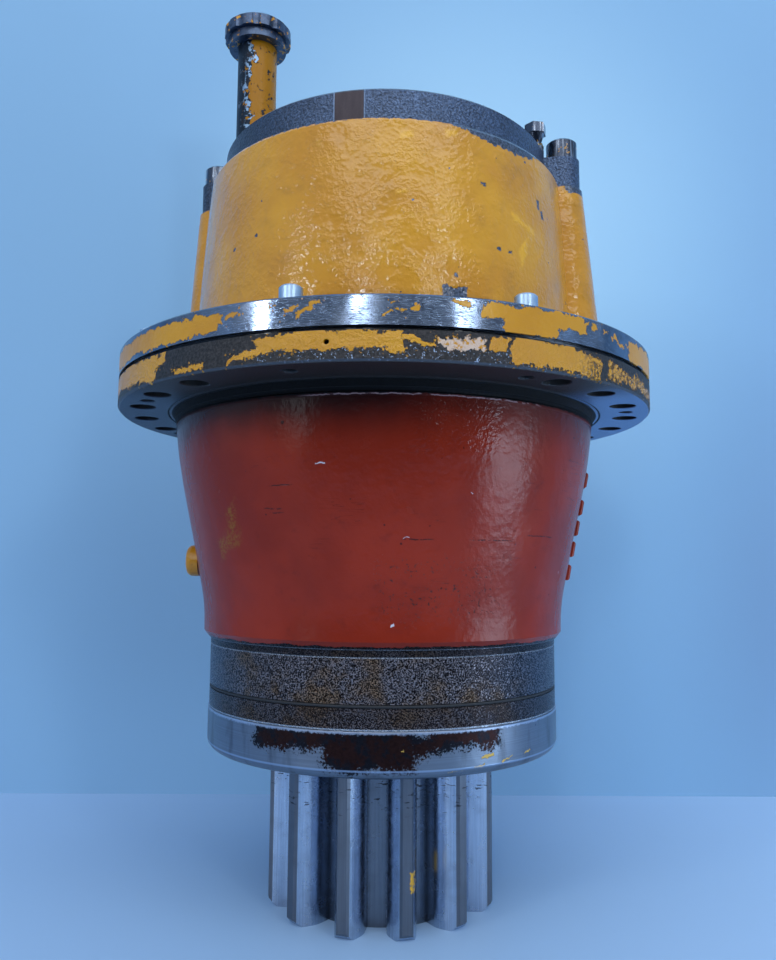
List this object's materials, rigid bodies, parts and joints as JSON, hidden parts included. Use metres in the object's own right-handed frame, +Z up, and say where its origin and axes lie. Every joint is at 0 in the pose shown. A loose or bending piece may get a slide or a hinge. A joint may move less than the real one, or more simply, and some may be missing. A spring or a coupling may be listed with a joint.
{
  "type": "hydraulic slew drive",
  "caption": "Hydraulic motor with brake and two-stage planetary reduction in flanged castings, driving a large straight-cut output pinion.",
  "frame": {"origin": "centre of the mounting flange's underside", "axes": "+Z up along the drive's axis from the pinion to the motor; -Y is the front that the picture shows; +X is right"},
  "size_m": [0.41, 0.41, 0.7788],
  "materials": {
    "yellow_casting": "glossy worn golden-yellow paint over cast iron, chipped at the edges",
    "red_casting": "semi-gloss red oxide paint over cast iron, scratched and speckled",
    "dark_casting": "bare rough cast iron, oily blue-grey",
    "port_steel": "machined and phosphated block",
    "flange_rough": "rough dark cast rim with worn yellow paint remnants",
    "flange_machined": "turned steel rim, yellow paint worn off in patches",
    "machined_nose": "turned steel with an oily brown-black film",
    "pinion_steel": "bright hobbed and ground steel",
    "gear_steel": "case-hardened steel, satin",
    "bearing_steel": "ground bearing steel",
    "zinc_steel": "dull zinc plating",
    "black_screw": "blackened high-tensile steel, worn bright on the edges",
    "bronze": "bearing bronze",
    "washer_brass": "soft sealing washer",
    "filler_steel": "half-painted steel tube, bare and rusty on one side",
    "cap_metal": "dull die-cast cap with paint remnants",
    "yellow_plug": "painted over with the casting",
    "seal_rubber": "nitrile rubber",
    "brake_steel": "flat ground steel plate",
    "friction_lining": "sintered brown lining",
    "spring_steel": "oil-tempered spring wire"
  },
  "bodies": {
    "casing": {"lower_flange": "flange_rough", "lower_housing": "red_casting", "upper_flange": "flange_machined", "upper_housing": "yellow_casting", "flange_screws": "zinc_steel", "nose_ring": "machined_nose", "nose_screws": "black_screw", "spigot_seal": "seal_rubber", "shaft_seal": "seal_rubber", "side_plug": "yellow_plug", "motor_cover": "dark_casting", "cover_screws": "black_screw", "hex_plug": "black_screw", "plug_washer": "washer_brass", "port_block": "port_steel", "block_screws": "black_screw", "filler_tube": "filler_steel", "filler_collar": "cap_metal", "ring_gear_1": "gear_steel", "ring_gear_2": "gear_steel", "ring_clip": "spring_steel", "brake_cage": "gear_steel", "brake_plates": "brake_steel", "brake_springs": "spring_steel", "motor_body": "dark_casting", "port_plate": "bronze", "shaft_bushes": "bronze", "lower_bearing_cup": "bearing_steel", "upper_bearing_cup": "bearing_steel"},
    "output": {"output_pinion": "pinion_steel", "output_shaft": "gear_steel", "pinion_plate": "gear_steel", "pinion_screws": "black_screw", "carrier_2": "gear_steel", "planet_pins_2": "bearing_steel", "end_plate": "gear_steel", "end_plate_screws": "black_screw", "lower_bearing_cone": "bearing_steel", "upper_bearing_cone": "bearing_steel"},
    "lower_rollers": {"lower_bearing_rollers": "bearing_steel"},
    "upper_rollers": {"upper_bearing_rollers": "bearing_steel"},
    "planet_2a": {"planet_2a": "gear_steel"},
    "planet_2b": {"planet_2b": "gear_steel"},
    "planet_2c": {"planet_2c": "gear_steel"},
    "intermediate": {"carrier_1": "gear_steel", "sun_2": "gear_steel", "planet_pins_1": "bearing_steel", "pin_rings_1": "spring_steel"},
    "planet_1a": {"planet_1a": "gear_steel"},
    "planet_1b": {"planet_1b": "gear_steel"},
    "planet_1c": {"planet_1c": "gear_steel"},
    "motor_shaft": {"motor_shaft": "gear_steel", "brake_hub": "gear_steel", "friction_discs": "friction_lining", "gerotor_inner": "bearing_steel"},
    "gerotor_ring": {"gerotor_outer": "bearing_steel"},
    "brake_piston": {"brake_piston": "brake_steel"},
    "filler_cap": {"filler_cap": "cap_metal", "dipstick": "zinc_steel"}
  },
  "joints": [
    {"name": "output_spin", "type": "hinge", "parent": "casing", "child": "output", "pos_m": [0, 0, -0.3], "axis": [0, 0, 1], "continuous": true},
    {"name": "lower_rollers_spin", "type": "hinge", "parent": "casing", "child": "lower_rollers", "pos_m": [0, 0, -0.21], "axis": [0, 0, 1], "continuous": true},
    {"name": "upper_rollers_spin", "type": "hinge", "parent": "casing", "child": "upper_rollers", "pos_m": [0, 0, -0.094], "axis": [0, 0, 1], "continuous": true},
    {"name": "intermediate_spin", "type": "hinge", "parent": "casing", "child": "intermediate", "pos_m": [0, 0, 0.03], "axis": [0, 0, 1], "continuous": true},
    {"name": "motor_spin", "type": "hinge", "parent": "casing", "child": "motor_shaft", "pos_m": [0, 0, 0.12], "axis": [0, 0, 1], "continuous": true},
    {"name": "gerotor_ring_spin", "type": "hinge", "parent": "casing", "child": "gerotor_ring", "pos_m": [0, 0.004, 0.161], "axis": [0, 0, 1], "continuous": true},
    {"name": "brake_piston_slide", "type": "slide", "parent": "casing", "child": "brake_piston", "axis": [0, 0, 1], "range_m": [0, 0.0018], "stiffness_N_per_m": 40000, "springref_m": -0.004, "deforming": ["brake_springs"]},
    {"name": "filler_cap_slide", "type": "slide", "parent": "casing", "child": "filler_cap", "axis": [0, 0, 1], "range_m": [0, 0.36]},
    {"name": "planet_2a_spin", "type": "hinge", "parent": "output", "child": "planet_2a", "pos_m": [0, 0.0825, -0.012], "axis": [0, 0, 1], "continuous": true},
    {"name": "planet_1a_spin", "type": "hinge", "parent": "intermediate", "child": "planet_1a", "pos_m": [0, 0.072, 0.067], "axis": [0, 0, 1], "continuous": true},
    {"name": "planet_2b_spin", "type": "hinge", "parent": "output", "child": "planet_2b", "pos_m": [-0.07145, -0.04125, -0.012], "axis": [0, 0, 1], "continuous": true},
    {"name": "planet_1b_spin", "type": "hinge", "parent": "intermediate", "child": "planet_1b", "pos_m": [-0.06235, -0.036, 0.067], "axis": [0, 0, 1], "continuous": true},
    {"name": "planet_2c_spin", "type": "hinge", "parent": "output", "child": "planet_2c", "pos_m": [0.07145, -0.04125, -0.012], "axis": [0, 0, 1], "continuous": true},
    {"name": "planet_1c_spin", "type": "hinge", "parent": "intermediate", "child": "planet_1c", "pos_m": [0.06235, -0.036, 0.067], "axis": [0, 0, 1], "continuous": true}
  ],
  "couplings": [
    {"joint": "intermediate_spin", "follows": "output_spin", "ratio": 4.4},
    {"joint": "motor_spin", "follows": "output_spin", "ratio": 21.12},
    {"joint": "gerotor_ring_spin", "follows": "output_spin", "ratio": 18.103},
    {"joint": "lower_rollers_spin", "follows": "output_spin", "ratio": 0.4444},
    {"joint": "upper_rollers_spin", "follows": "output_spin", "ratio": 0.4461},
    {"joint": "planet_2a_spin", "follows": "output_spin", "ratio": -2.8333},
    {"joint": "planet_1a_spin", "follows": "output_spin", "ratio": -11.943},
    {"joint": "planet_2b_spin", "follows": "output_spin", "ratio": -2.8333},
    {"joint": "planet_1b_spin", "follows": "output_spin", "ratio": -11.943},
    {"joint": "planet_2c_spin", "follows": "output_spin", "ratio": -2.8333},
    {"joint": "planet_1c_spin", "follows": "output_spin", "ratio": -11.943}
  ]
}
